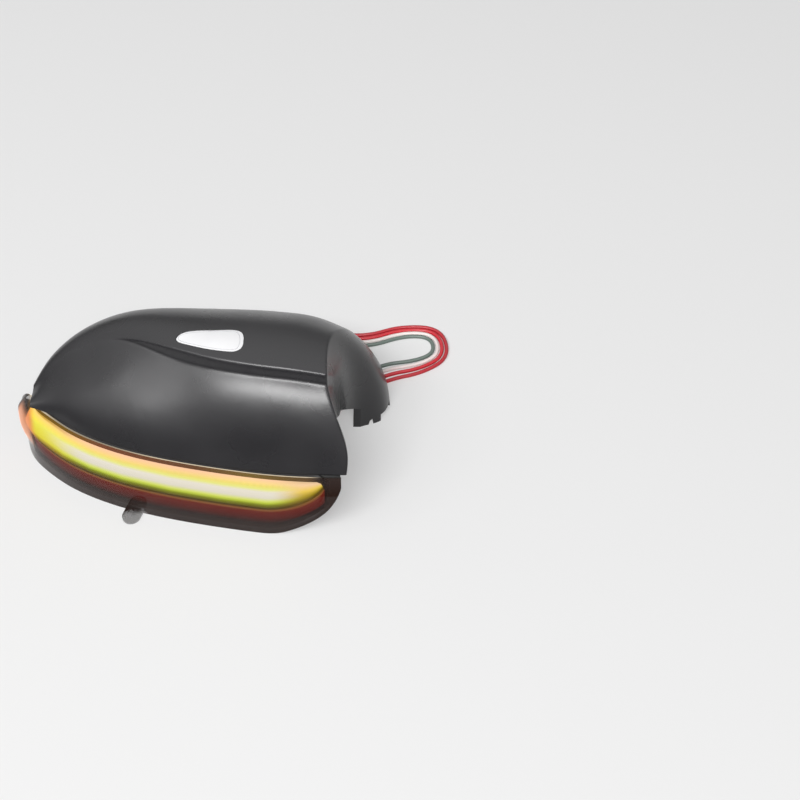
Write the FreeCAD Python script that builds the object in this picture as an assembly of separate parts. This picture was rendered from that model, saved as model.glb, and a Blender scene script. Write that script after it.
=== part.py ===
"""Turn signal lamp of a car door mirror, fitted in its mirror cap, with its leads and plug.

The part lies on the open side of the cap. +Z is up, -Y is the side of the lamp, -X is the
outer tip and +X the inner end, where the mirror's arm passes through the cap. Millimetres.
"""
import FreeCAD
import Part

import os
from math import atan2, cos, degrees, hypot, pi, radians, sin, sqrt, tan

V = FreeCAD.Vector
Z = V(0, 0, 1)
FIT = 0.1                         # clearance between pieces that fit each other
MIDDLE = V(1.7, 0, 0)             # brings the middle of the cap with its lamp over the origin

# Mirror cap
CAP_WALL = 2.5
CAP_TIP = -104.8                  # x of the outer tip
CAP_EDGE = 44.0                   # height of the edge that meets the lens
CAP_TUCK = 2.0                    # how far that edge lies behind the lens's face
STEP_HEIGHT = 6.4                 # the crease's riser
STEP_RUN = 1.6
STEP_START, STEP_FULL = -54.0, -8.0
SECTIONS, FOOT_SECTIONS = 14, 6   # rows of the net along the cap, and down the foot's wall
SECTION_SPREAD = 1.35             # above 1 the sections lie closer together at the tip
CREASE_LINE = [(-104.8, 4), (-97, 9), (-85, 12), (-68, 13.5), (-50, 10.5), (-24, -2.8),
               (6, -17.8), (36, -26), (66, -29.8), (92, -31.5)]
CREASE_RISE = [(-104.8, 45.2), (-102, 49.8), (-97, 54.5), (-85, 64), (-68, 73.5), (-50, 81.3),
               (-24, 89.5), (6, 94.3), (36, 96), (66, 95.5), (80, 92), (94, 80)]
REAR_LINE = [(-104.8, 15), (-100, 32), (-90, 47), (-75, 59), (-50, 69.5), (-15, 75.3),
             (25, 76.5), (60, 74.5), (80, 70), (98, 60)]
PANEL_TILT = [(-104.8, 80), (-85, 72), (-40, 66), (92, 62)]       # degrees, at the lens
CROWN_TILT = [(-104.8, 40), (-85, 30), (-50, 22), (-10, 10), (40, 8), (92, 4)]
SHELF_TILT = 30.0                 # degrees, just below the crease
PANEL_FULLNESS = 0.36
CROWN_FULLNESS = 0.54
JOINT = 0.42                      # share of a section at which the crease lies

# Inner end of the cap: the shoulder line, and the foot's rim, by share of a section
SHOULDER_LINE = [(0, 88.6), (0.10, 90), (0.20, 86.5), (0.30, 82), (0.42, 77.4), (0.50, 76.6),
                 (0.60, 80.5), (0.70, 88), (0.82, 92), (1, 93)]
FOOT_RIM = [(0, 80, -6), (0.42, 87, 4), (0.50, 94, 11.2), (0.57, 100.5, 12.6), (0.64, 107.5, 15),
            (0.70, 112.3, 21), (0.76, 113.7, 30), (0.84, 111.5, 42), (0.92, 106, 54), (1, 98, 60)]
SHOULDER_EDGE = [(0, 34), (0.5, 30), (0.62, 16), (0.75, 6), (1, 3)]       # degrees

# Openings of the cap
WINDOW = [(-12.1, -0.1), (-9.2, 3.5), (-4, 5.1), (4, 5.3), (13.3, 5.2), (21.5, 5.2), (25.4, 3.6),
          (27.6, -0.7), (28.0, -6.7), (27.1, -12.1), (24.5, -14.4), (19.5, -14.6), (11.2, -12.8),
          (2.2, -9.8), (-5.8, -6.4), (-10.4, -3.9)]
WINDOW_STEPS = 32                 # points on which its outline is drawn
WINDOW_FRAME, WINDOW_LEDGE = 2.0, 0.8
INSERT_SUNK, INSERT_SEAT = 0.4, 1.6
SHAFT = 60.0                      # length of tools that cut or fill right through the shell
ARM_START = 74.0
ARM_FRONT = [(-60.5, 40), (-51, 57), (-45.6, 72.5)]
ARM_CROWN = [(-15, 44.0), (10.6, 17.5)]
TAB_RIGHT, TAB_DROP = 107.3, 5.5
HOOK_GAP = (99.2, 102.6, 4.6)     # from, to, height
HOOK_SLANT = 1.2
TAB_DEPTH, TAB_BACK = 26.0, 29.0
CABLE_RELIEF = (106.5, 53.0, 9.0, 4.2)      # x, y, half width, height

# Inside of the cap
RIB_X = (-62, -34, 46)
RIB_THICKNESS, RIB_HEIGHT = 1.6, 6.0
RIB_START, RIB_END = JOINT + 0.05, 0.95       # shares of a section between which a rib runs
CLIP_X = (-58, -14, 32, 68)
CLIP_WIDTH = 9.0
CLIP_PROFILE = [(-6, 27), (8, 21), (8, 4), (6.1, 2), (6.1, 7), (4.9, 8.4), (5.9, 9.8),
                (5.9, 19), (-6, 19)]
BOSS_OUTER = 8.0
SKY_SCALE = 1.6                   # outer limit of the space that trims what grows into the shell
RIM_SPARE = 0.5                   # how far the shell is drawn below the ground before its rim is cut
BED = 400.0

# Lamp: the lens line in plan, and the lens's profile
LENS_LINE = [(-105.6, 14.5), (-110.4, 11.2), (-113.2, 5.4), (-113.6, -1.0), (-112.2, -8.0),
             (-108.8, -15.2), (-102.6, -22.2), (-87.5, -35.2), (-69.5, -45.9), (-48.5, -54.7), (-18, -63.5),
             (13.3, -70.0), (40.4, -74.3), (64, -76.3), (89, -76.5)]
LENS_END = 0.985                  # share of the line at which the lens ends
LENS_WALL = 2.2
LENS_TOP = 43.6
LENS_SHOULDER = 19.0              # height from which the lens leans in
LENS_LEAN = 9.6
TIP_LEAN, TIP_FLARE, TIP_SHARE = 12.0, 5.4, 0.24
TIP_DROP, TIP_DROP_SHARE = 26.0, 0.075        # the lens's top falls where it closes round the tip
FLARE_LOW, FLARE_HIGH = 16.0, 27.0
CORNER_START, CORNER_END = 40.0, 86.6
CORNER_POWER = 1.5
TONGUE_X = -41.5
TONGUE_WIDTH, TONGUE_REACH, TONGUE_THICKNESS = 11.0, 10.5, 1.8

# Tray, seal and light bar
GASKET = 0.8
TRAY_WALL = 1.8
LAMP_DEPTH, TIP_DEPTH, INNER_RISE = 16.0, 10.0, 7.0
TRAY_START, TRAY_END = 0.085, 0.955
COLUMNS, LENS_ROWS, CROWDING = 25, 7, 0.8     # net of the lamp's pieces along and up
TRAY_DEEP, TRAY_SHALLOW = 0.20, 0.91
TRAY_LIFT, TRAY_DROP = 2.4, 1.6
GUIDE_START = 0.096
GUIDE_TURN, GUIDE_END = 39.0, 75.5
GUIDE_LOW, GUIDE_CLEAR = 19.5, 0.4
GUIDE_GAP, GUIDE_THICKNESS, GUIDE_TIP = 0.8, 4.5, 1.6
GUIDE_HIGH = LENS_TOP - TRAY_DROP - TRAY_WALL - GUIDE_CLEAR
GUIDE_DEPTH = LENS_WALL + GASKET + GUIDE_GAP
BEZEL_GAP, BEZEL_THICKNESS = 0.6, 1.6

# Light sources on their board
BOARD_DEPTH, BOARD_THICKNESS = 11.5, 1.2
BOARD_LOW, BOARD_HIGH = 9.0, 26.0
BOARD_START, BOARD_END = -84.0, 62.0
LED_SIZE, LED_HEIGHT, LED_ROW = (3.5, 1.2, 2.8), 22.8, (18, -80.0, 58.0)      # count, from, to
CHIP_SIZE, CHIP_HEIGHT, CHIP_ROW = (4.9, 1.5, 3.9), 13.2, (4, -52.0, 34.0)
RESISTOR_SIZE, RESISTOR_HEIGHT, RESISTOR_ROW = (2.0, 0.6, 1.25), 18.4, (12, -64.0, 50.0)
BOARD_SCREW_X, BOARD_SCREW_HEIGHT = (-73.0, -8.0, 46.0), 15.5
BOARD_BOSS, BOSS_END = 5.5, 19.0
SCREW_HEAD, SCREW_HEAD_HEIGHT, SCREW_SHANK, SLOT = 4.4, 1.6, 2.2, 0.7

# Fixing of the lamp to the cap
EAR_X = (-60.0, -12.0, 40.0)
EAR_WIDTH, EAR_REACH, EAR_THICKNESS, EAR_HEIGHT = 12.0, 10.0, 2.6, 26.0
EAR_BORE = 4.2
LAMP_SCREW_SHANK, LAMP_SCREW_HEAD = 3.6, 7.4
LAMP_SCREW_LENGTH, LAMP_SCREW_HEAD_HEIGHT = 12.0, 2.4
VENT_X, VENT_HEIGHT, VENT_HEAD, VENT_NECK, VENT_REACH = 14.0, 12.0, 9.0, 5.0, 3.4

# Leads, bush and plug
LEAD, LEAD_PITCH = 2.6, 2.9
LEAD_NAMES = ("lead_crimson", "lead_red", "lead_white", "lead_green")
LEAD_X, LEAD_HEIGHT = 58.0, 19.0
GROMMET_NECK, GROMMET_FLANGE = (13.2, 5.4), (16.4, 8.6)
GROMMET_LIP, GROMMET_END = 1.8, 22.0
# Route of the four leads side by side: place, and the spacing from lead to lead there
ROUTE = [(59.45, -53.98, 19, 2.9), (60.45, -38, 19, 2.9), (60, -14, 7, 3.0), (66, 13, 1.4, 3.4),
         (84, 39, 1.4, 4.0), (109, 57, 1.4, 4.7), (132, 61.5, 1.4, 3.8), (147.5, 72.5, 1.4, 3.0),
         (143.5, 93, 1.4, 2.9), (121, 94.5, 1.4, 3.0), (99, 85, 1.4, 3.2), (77, 86.5, 1.4, 3.4),
         (52, 90.5, 1.4, 3.2), (34, 92.8, 3.2, 2.9), (18, 93, 4.6, 2.9)]
PLUG_LENGTH, PLUG_WIDTH, PLUG_HEIGHT, PLUG_WALL = 20.0, 15.6, 9.2, 1.3
SEAL_LENGTH, SOCKET_DEPTH, TERMINAL = 5.0, 9.0, 1.0
SEAL_GROOVE, SEAL_PITCH = 0.6, 1.6
RAIL_WIDTH, RAIL_HEIGHT, RAIL_SUNK = 1.2, 1.2, 0.2
LATCH_THICKNESS, LATCH_RAMP = 1.0, 1.5


def smooth(points, at, item=1):
    """Value at a place on a smooth line through points, without overshoot between them."""
    last = len(points) - 1
    slopes = []
    for i in range(last):
        slopes.append((points[i + 1][item] - points[i][item]) / (points[i + 1][0] - points[i][0]))
    k = 0
    while k < last - 1 and at > points[k + 1][0]:
        k += 1
    ends = []
    for i in (k, k + 1):
        if i == 0:
            ends.append(slopes[0])
        elif i == last:
            ends.append(slopes[-1])
        elif slopes[i - 1] * slopes[i] <= 0:
            ends.append(0.0)
        else:
            ends.append(2 * slopes[i - 1] * slopes[i] / (slopes[i - 1] + slopes[i]))
    span = points[k + 1][0] - points[k][0]
    t = (at - points[k][0]) / span
    low, high = points[k][item], points[k + 1][item]
    return (low * (1 + 2 * t) * (1 - t) ** 2 + high * t * t * (3 - 2 * t)
            + span * ends[0] * t * (1 - t) ** 2 - span * ends[1] * t * t * (1 - t))


def bezier(corners, t):
    """Point of a cubic curve with four corners in a plane."""
    weights = ((1 - t) ** 3, 3 * t * (1 - t) ** 2, 3 * t * t * (1 - t), t ** 3)
    return tuple(sum(w * c[i] for w, c in zip(weights, corners)) for i in (0, 1))


def knots(count, degree):
    spans = count - degree
    return [degree + 1] + [1] * (spans - 1) + [degree + 1], list(range(spans + 1))


def skin(net):
    """Smooth surface drawn by a net of points; a doubled row gives it a sharp line."""
    degrees = min(3, len(net) - 1), min(3, len(net[0]) - 1)
    u_mults, u_knots = knots(len(net), degrees[0])
    v_mults, v_knots = knots(len(net[0]), degrees[1])
    surface = Part.BSplineSurface()
    surface.buildFromPolesMultsKnots(net, u_mults, v_mults, u_knots, v_knots, False, False,
                                     degrees[0], degrees[1])
    return surface


def poles_through(points):
    """Poles of the smooth line that passes through evenly numbered points."""
    curve = Part.BSplineCurve()
    curve.interpolate(Points=points, Parameters=[float(i) for i in range(len(points))])
    return curve.getPoles()


def fair(net):
    """Smooth surface that passes through every point of a net."""
    rows = [poles_through(row) for row in net]
    across = [poles_through(list(column)) for column in zip(*rows)]
    return skin([list(row) for row in zip(*across)])


def slab(front, back, draw=skin):
    """Solid between two nets of like size: a wall that follows both."""
    skins = [draw(front), draw(back)]
    outer, inner = [surface.getPoles() for surface in skins]
    for side in (0, -1):
        skins.append(skin([outer[side], inner[side]]))
        skins.append(skin([[row[side] for row in outer], [row[side] for row in inner]]))
    closed = Part.Compound([surface.toShape() for surface in skins])
    closed.sewShape()
    solid = Part.Solid(closed.Shells[0])
    if solid.Volume < 0:
        solid.reverse()
    return solid


def prism(outline, height):
    """Solid swept from a closed outline of points along a vector, its corners kept."""
    return Part.Face(Part.makePolygon(outline + outline[:1])).extrude(height)


def box(x, y, z, middle):
    """Box of three sizes about its middle."""
    return Part.makeBox(x, y, z, middle - V(x, y, z) / 2)


def rod(width, length, foot, way=Z):
    return Part.makeCylinder(width / 2, length, foot, way)


def share_of(value, start, end):
    """Soft step from 0 to 1 between two places."""
    t = min(1.0, max(0.0, (value - start) / (end - start)))
    return t * t * (3 - 2 * t)


# Lamp: pieces that follow the lens line in plan and the lens's profile in height

def lens_line():
    curve = Part.BSplineCurve()
    curve.interpolate([V(x, y, 0) for x, y in LENS_LINE])
    return curve


LINE = lens_line()


def lamp_place(share):
    """Point on the lens line, and the way out from the lamp there."""
    start, end = LINE.FirstParameter, LINE.LastParameter
    at = start + (end - start) * share
    way = LINE.tangent(at)[0]
    return LINE.value(at), V(way.y, -way.x, 0).normalize()


def share_at(x):
    """Share of the lens line at which it passes a place between tip and inner end."""
    low, high = 0.15, 1.0
    for _ in range(40):
        middle = (low + high) / 2
        if lamp_place(middle)[0].x < x:
            low = middle
        else:
            high = middle
    return low


def corner_rise(x, start, end, low, high):
    """Height of a lower edge that turns up in a round corner at the inner end."""
    t = min(1.0, max(0.0, (x - start) / (end - start)))
    return low + (high - low) * (1 - (1 - t ** CORNER_POWER) ** (1 / CORNER_POWER))


def lens_foot(share, x):
    return corner_rise(x, CORNER_START, CORNER_END, 0.0, LENS_TOP)


def lens_top(share, x):
    return LENS_TOP - TIP_DROP * (1 - share_of(share, 0.0, TIP_DROP_SHARE))


def lens_face(share, height, depth):
    """Point at a depth behind the lens's outer face, which leans in and flares at the tip."""
    place, way = lamp_place(share)
    whole = share_of(share, 0.0, TIP_SHARE)
    lean = TIP_LEAN + (LENS_LEAN - TIP_LEAN) * whole
    rise = max(0.0, (height - LENS_SHOULDER) / (LENS_TOP - LENS_SHOULDER))
    flare = TIP_FLARE * (1 - whole) * share_of(height, FLARE_LOW, FLARE_HIGH)
    slope = -2 * lean * rise / (LENS_TOP - LENS_SHOULDER)
    length = sqrt(1 + slope * slope)
    return (place + way * (flare - lean * rise ** 2 - depth / length)
            + Z * (height + depth * slope / length))


def rule(value, *place):
    """Value of a size that is either fixed or changes along the part."""
    return value(*place) if callable(value) else value


def columns(start, end):
    """Shares of the lens line at which a net has its columns, closer together at both ends."""
    steps = [i / (COLUMNS - 1) for i in range(COLUMNS)]
    return [start + (end - start) * (t - CROWDING * sin(2 * pi * t) / (2 * pi)) for t in steps]


def lamp_net(depth, low, high, start, end):
    """Net at a depth behind the lens face, between two heights."""
    net = []
    for share in columns(start, end):
        x = lamp_place(share)[0].x
        bottom, top = rule(low, share, x), rule(high, share, x)
        heights = [bottom + (top - bottom) * j / (LENS_ROWS - 1) for j in range(LENS_ROWS)]
        net.append([lens_face(share, height, rule(depth, share, x)) for height in heights])
    return net


def wall_net(depth, low, high, start, end):
    """Net of an upright wall at a depth behind the lens line, between two heights."""
    net = []
    for share in columns(start, end):
        place, way = lamp_place(share)
        foot = place - way * rule(depth, share, place.x)
        bottom, top = rule(low, share, place.x), rule(high, share, place.x)
        heights = [bottom + (top - bottom) * j / (LENS_ROWS - 1) for j in range(LENS_ROWS)]
        net.append([foot + Z * height for height in heights])
    return net


def lamp_slab(front, back):
    """Solid of the lamp between two nets that it passes through."""
    return slab(front, back, fair)


def block(size, x, depth, height):
    """Box set on the lamp's line: its length along the line, its middle at a depth."""
    place, way = lamp_place(share_at(x))
    made = box(size[0], size[1], size[2], V(0, 0, 0))
    made.rotate(V(0, 0, 0), Z, degrees(atan2(way.y, way.x)) + 90)
    made.translate(place - way * depth + Z * height)
    return made


def inward_rod(width, x, start, end, height):
    """Round rod that runs into the lamp, between two depths."""
    place, way = lamp_place(share_at(x))
    return rod(width, end - start, place - way * start + Z * height, way * -1)


# Mirror cap: a shell whose sections run from the lens edge over the crease to the rear rim

def edge_line():
    """Plan line of the cap's edge, tucked behind the top of the lens."""
    line = [(CAP_TIP, lens_face(share_at(CAP_TIP + 3), CAP_EDGE, CAP_TUCK).y + 3)]
    for x in (-101, -92, -80, -60, -35, -10, 20, 50, 86):
        point = lens_face(share_at(x), CAP_EDGE, CAP_TUCK)
        line.append((point.x, point.y))
    return line


EDGE_LINE = edge_line()


def cap_point(x, v):
    """Outer face at a section's share v: the front panel, then the crown behind the crease."""
    crown = V(x, smooth(CREASE_LINE, x), smooth(CREASE_RISE, x))
    step = share_of(x, STEP_START, STEP_FULL)
    crown_tilt = radians(smooth(CROWN_TILT, x))
    if v <= JOINT:
        low = (smooth(EDGE_LINE, x), CAP_EDGE)
        high = (crown.y - STEP_RUN * step, crown.z - STEP_HEIGHT * step)
        reach = PANEL_FULLNESS * hypot(high[0] - low[0], high[1] - low[1])
        low_tilt = radians(smooth(PANEL_TILT, x))
        high_tilt = crown_tilt + (radians(SHELF_TILT) - crown_tilt) * step
        corners = (low, (low[0] + reach * cos(low_tilt), low[1] + reach * sin(low_tilt)),
                   (high[0] - reach * cos(high_tilt), high[1] - reach * sin(high_tilt)), high)
        y, z = bezier(corners, v / JOINT)
    else:
        rear = smooth(REAR_LINE, x)
        reach = CROWN_FULLNESS * (rear - crown.y)
        corners = ((crown.y, crown.z),
                   (crown.y + reach * cos(crown_tilt), crown.z + reach * sin(crown_tilt)),
                   (rear, CROWN_FULLNESS * crown.z), (rear, -RIM_SPARE))
        y, z = bezier(corners, (v - JOINT) / (1 - JOINT))
    return V(x, y, z)


def cap_rows():
    """Shares of a section at which the net has its points, close beside the crease."""
    front = [JOINT * t for t in (0, 0.17, 0.34, 0.51, 0.68, 0.85, 0.97, 1)]
    crown = [JOINT + (1 - JOINT) * t for t in (1e-6, 0.02, 0.1, 0.2, 0.32, 0.44, 0.56, 0.68, 0.8, 0.9, 1)]
    return front + crown


def foot_point(v, turn):
    """Wall that turns down from the shoulder line to the foot's rim."""
    top = cap_point(smooth(SHOULDER_LINE, v), v)
    rim = V(smooth(FOOT_RIM, v), smooth(FOOT_RIM, v, 2), 0)
    start = radians(smooth(SHOULDER_EDGE, v))
    angle = start + (pi / 2 - start) * turn
    out = (sin(angle) - sin(start)) / (1 - sin(start))
    down = cos(angle) / cos(start)
    return V(top.x + (rim.x - top.x) * out, top.y + (rim.y - top.y) * out,
             top.z * down - RIM_SPARE * out)


def cap_net():
    net = []
    for i in range(SECTIONS):
        reach = (i / (SECTIONS - 1)) ** SECTION_SPREAD
        row = []
        for v in cap_rows():
            x = CAP_TIP + (smooth(SHOULDER_LINE, v) - CAP_TIP) * reach
            row.append(cap_point(x, v))
        net.append(row)
    net.append(list(net[-1]))
    for i in range(1, FOOT_SECTIONS + 1):
        net.append([foot_point(v, i / FOOT_SECTIONS) for v in cap_rows()])
    return net


def apart(net, i, j, step):
    """Way from the last distinct point to the next one, along one way of the net."""
    limit = len(net) if step[0] else len(net[0])
    here = net[i][j]
    found = []
    for sign in (-1, 1):
        a, b = i + sign * step[0], j + sign * step[1]
        while 0 <= (a if step[0] else b) < limit and net[a][b].distanceToPoint(here) < 0.05:
            a, b = a + sign * step[0], b + sign * step[1]
        inside = 0 <= (a if step[0] else b) < limit
        found.append(net[a][b] if inside else here)
    return found[1] - found[0]


def inset(net, depth):
    """Net that lies a depth inside another, with its lowest rim kept at its height."""
    result = []
    for i, row in enumerate(net):
        inner = []
        for j, point in enumerate(row):
            normal = apart(net, i, j, (1, 0)).cross(apart(net, i, j, (0, 1)))
            moved = point - normal.normalize() * depth
            if point.z < 0:
                moved.z = point.z
            inner.append(moved)
        result.append(inner)
    return result


def closed_line(points):
    curve = Part.BSplineCurve()
    curve.interpolate(points, PeriodicFlag=True)
    return curve


def window_outline(widening=0.0):
    """Outline of the window, widened or narrowed all round, above the cap."""
    curve = closed_line([V(x, y, SHAFT) for x, y in WINDOW])
    start, end = curve.FirstParameter, curve.LastParameter
    points = []
    for k in range(WINDOW_STEPS):
        at = start + (end - start) * k / WINDOW_STEPS
        way = curve.tangent(at)[0]
        points.append(curve.value(at) + V(-way.y, way.x, 0) * widening)
    return Part.Face(Part.Wire(closed_line(points).toShape()))


def arm_cutter():
    """Space that the mirror's arm passes through, seen from the inner end."""
    outline = [(-90, -5), (-90, ARM_FRONT[0][1])] + ARM_FRONT + ARM_CROWN + [(ARM_CROWN[-1][0], -5)]
    return prism([V(ARM_START, y, z) for y, z in outline], V(SHAFT, 0, 0))


def foot_cutters():
    """Space between the tab's two hooks, beside the tab, and over the leads."""
    start, end, height = HOOK_GAP
    outline = [V(start, 0, -1), V(end, 0, -1), V(end - HOOK_SLANT / 2, 0, height),
               V(start + HOOK_SLANT, 0, height - HOOK_SLANT)]
    gap = prism(outline, V(0, TAB_DEPTH, 0))
    side = box(SHAFT, TAB_DEPTH, 2 * TAB_DROP, V(TAB_RIGHT + SHAFT / 2, TAB_BACK - TAB_DEPTH / 2, 0))
    x, y, half, height = CABLE_RELIEF
    relief = box(SHAFT / 2, 2 * half, 2 * height, V(x, y, 0))
    return [gap, side, relief]


def clip(x, sky):
    """Snap hook that hangs inside the rear rim."""
    rear = smooth(REAR_LINE, x)
    outline = [V(x - CLIP_WIDTH / 2, rear - depth, z) for depth, z in CLIP_PROFILE]
    return prism(outline, V(CLIP_WIDTH, 0, 0)).cut(sky)


def rib(x):
    """Stiffening rib under the crown."""
    lines = []
    for depth in (CAP_WALL * 0.6, CAP_WALL + RIB_HEIGHT):
        points = []
        for k in range(7):
            v = RIB_START + (RIB_END - RIB_START) * k / 6
            a, b = cap_point(x, v - 0.005), cap_point(x, v + 0.005)
            way = (b - a).normalize()
            points.append(cap_point(x, v) + V(0, way.z, -way.y) * depth)
        curve = Part.BSplineCurve()
        curve.interpolate(points)
        lines.append((curve.toShape(), points))
    (upper, top), (lower, low) = lines
    wire = Part.Wire(Part.__sortEdges__([upper, lower, Part.makeLine(top[0], low[0]),
                                         Part.makeLine(top[-1], low[-1])]))
    made = Part.Face(wire).extrude(V(RIB_THICKNESS, 0, 0))
    return made.translated(V(-RIB_THICKNESS / 2, 0, 0))


def screw_boss(x, sky):
    foot = ear_middle(x) + Z * (EAR_THICKNESS + FIT)
    return rod(BOSS_OUTER, SHAFT, foot).cut(sky)


def window_layer(net, widening, upper, lower):
    """Plate of the window's outline, widened or narrowed, between two depths in the cap."""
    shaft = window_outline(widening).extrude(Z * SHAFT)
    return shaft.common(slab(inset(net, upper), inset(net, lower)))


def window_insert(net):
    """Clear insert: a plate in the window, and a flange that lies in the frame's ledge."""
    back = CAP_WALL + INSERT_SEAT - FIT
    plate = window_layer(net, -FIT, INSERT_SUNK, back)
    return plate.fuse(window_layer(net, WINDOW_LEDGE - FIT, CAP_WALL + FIT, back))


def window_frame(net):
    """Rim round the window on the inside, in which the insert's flange lies."""
    rim = window_layer(net, WINDOW_FRAME, CAP_WALL / 2, CAP_WALL + INSERT_SEAT)
    return rim.cut(window_outline(WINDOW_LEDGE).extrude(Z * SHAFT))


def mirror_cap(net):
    middle = inset(net, CAP_WALL / 2)
    sky = slab(middle, [[p * SKY_SCALE for p in row] for row in net])
    shell = slab(net, inset(net, CAP_WALL)).cut(window_outline().extrude(Z * SHAFT))
    inside = [window_frame(net)] + [clip(x, sky) for x in CLIP_X] + [rib(x) for x in RIB_X]
    inside += [screw_boss(x, sky) for x in EAR_X]
    cutters = [arm_cutter(), box(BED, BED, SHAFT, V(0, 0, -SHAFT / 2))] + foot_cutters()
    for x in EAR_X:
        foot = ear_middle(x) + Z * EAR_THICKNESS
        cutters.append(rod(LAMP_SCREW_SHANK + FIT, LAMP_SCREW_LENGTH + 1, foot))
    return shell.fuse(inside).cut(cutters)


# Pieces of the lamp

def lens_cover():
    cover = lamp_slab(lamp_net(0, lens_foot, lens_top, 0, LENS_END),
                      lamp_net(LENS_WALL, lens_foot, lens_top, 0, LENS_END))
    place, way = lamp_place(share_at(TONGUE_X))
    reach = TONGUE_REACH + LENS_WALL - TONGUE_WIDTH / 2
    root = block((TONGUE_WIDTH, reach, TONGUE_THICKNESS), TONGUE_X,
                 LENS_WALL - reach / 2, TONGUE_THICKNESS / 2)
    tip = rod(TONGUE_WIDTH, TONGUE_THICKNESS, place + way * (TONGUE_REACH - TONGUE_WIDTH / 2))
    return cover.fuse([root, tip]).removeSplitter()


def tray_depth(share, x):
    """Depth of the tray, which is shallow at both ends."""
    return (TIP_DEPTH + (LAMP_DEPTH - TIP_DEPTH) * share_of(share, TRAY_START, TRAY_DEEP)
            - INNER_RISE * share_of(share, TRAY_SHALLOW, TRAY_END))


def tray_foot(share, x):
    return lens_foot(share, x) + TRAY_LIFT


def tray_top(share, x):
    return lens_top(share, x) - TRAY_DROP


def tray_room():
    """Hollow of the tray, open towards the lens."""
    margin = TRAY_WALL / LINE.length()
    start, end = TRAY_START + margin, TRAY_END - margin
    low = lambda share, x: tray_foot(share, x) + TRAY_WALL
    high = lambda share, x: tray_top(share, x) - TRAY_WALL
    front = lamp_net(LENS_WALL / 2, low, high, start, end)
    back = wall_net(lambda share, x: tray_depth(share, x) - TRAY_WALL, low, high, start, end)
    return lamp_slab(front, back)


def lamp_housing(room):
    front = lamp_net(LENS_WALL + GASKET, tray_foot, tray_top, TRAY_START, TRAY_END)
    back = wall_net(tray_depth, tray_foot, tray_top, TRAY_START, TRAY_END)
    tray = lamp_slab(front, back).cut(room)
    added, bores = [], []
    for x in BOARD_SCREW_X:
        added.append(inward_rod(BOARD_BOSS, x, BOARD_DEPTH + BOARD_THICKNESS + FIT, BOSS_END,
                                BOARD_SCREW_HEIGHT))
        bores.append(inward_rod(SCREW_SHANK + FIT, x, BOARD_DEPTH, BOSS_END - TRAY_WALL,
                                BOARD_SCREW_HEIGHT))
    for x in EAR_X:
        middle = LAMP_DEPTH + EAR_REACH / 2 - TRAY_WALL / 2
        added.append(block((EAR_WIDTH, EAR_REACH + TRAY_WALL, EAR_THICKNESS), x, middle,
                           EAR_HEIGHT + EAR_THICKNESS / 2))
        added.append(block((TRAY_WALL, EAR_REACH / 2, EAR_WIDTH / 2), x + (EAR_WIDTH - TRAY_WALL) / 2,
                           LAMP_DEPTH + EAR_REACH / 4 - FIT, EAR_HEIGHT - EAR_WIDTH / 4 + FIT))
        bores.append(rod(EAR_BORE, 3 * EAR_THICKNESS, ear_middle(x) - Z * EAR_THICKNESS))
    bores.append(inward_rod(VENT_NECK + FIT, VENT_X, LAMP_DEPTH - 2 * TRAY_WALL,
                            LAMP_DEPTH + TRAY_WALL, VENT_HEIGHT))
    bores.append(grommet_body(GROMMET_NECK, LAMP_DEPTH - 2 * TRAY_WALL, LAMP_DEPTH + TRAY_WALL, FIT))
    return tray.fuse(added).cut(bores)


def ear_middle(x):
    """Middle of an ear's lower face."""
    place, way = lamp_place(share_at(x))
    return place - way * (LAMP_DEPTH + EAR_REACH / 2) + Z * EAR_HEIGHT


def lens_gasket(room):
    rim = lamp_slab(lamp_net(LENS_WALL + FIT, tray_foot, tray_top, TRAY_START, TRAY_END),
                    lamp_net(LENS_WALL + GASKET - FIT, tray_foot, tray_top, TRAY_START, TRAY_END))
    return rim.cut(room)


def guide_foot(share, x):
    return corner_rise(x, GUIDE_TURN, GUIDE_END, GUIDE_LOW, GUIDE_HIGH - 1.0)


def guide_top(share, x):
    return tray_top(share, x) - TRAY_WALL - GUIDE_CLEAR


def guide_back(share, x):
    """Rear face of the light bar, which is thin where the lens turns round the tip."""
    thin = GUIDE_TIP + (GUIDE_THICKNESS - GUIDE_TIP) * share_of(share, GUIDE_START, TRAY_DEEP)
    return GUIDE_DEPTH + thin


def light_guide():
    end = share_at(GUIDE_END - 1.0)
    return lamp_slab(lamp_net(GUIDE_DEPTH, guide_foot, guide_top, GUIDE_START, end),
                     lamp_net(guide_back, guide_foot, guide_top, GUIDE_START, end))


def bezel_low(share, x):
    return tray_foot(share, x) + TRAY_WALL + 2 * BEZEL_GAP


def bezel_high(share, x):
    return max(guide_foot(share, x) - BEZEL_GAP, bezel_low(share, x) + 1.0)


def guide_bezel():
    end = TRAY_END - (TRAY_WALL + BEZEL_GAP + 4 * FIT) / LINE.length()
    return lamp_slab(lamp_net(GUIDE_DEPTH, bezel_low, bezel_high, GUIDE_START, end),
                     lamp_net(GUIDE_DEPTH + BEZEL_THICKNESS, bezel_low, bezel_high, GUIDE_START, end))


def board_foot(share, x):
    return max(BOARD_LOW, tray_foot(share, x) + TRAY_WALL + BEZEL_GAP)


def led_board():
    start, end = share_at(BOARD_START), share_at(BOARD_END)
    board = lamp_slab(wall_net(BOARD_DEPTH, board_foot, BOARD_HIGH, start, end),
                      wall_net(BOARD_DEPTH + BOARD_THICKNESS, board_foot, BOARD_HIGH, start, end))
    holes = [inward_rod(SCREW_SHANK + 4 * FIT, x, BOARD_DEPTH - 1, BOARD_DEPTH + 3, BOARD_SCREW_HEIGHT)
             for x in BOARD_SCREW_X]
    return board.cut(holes)


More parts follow.
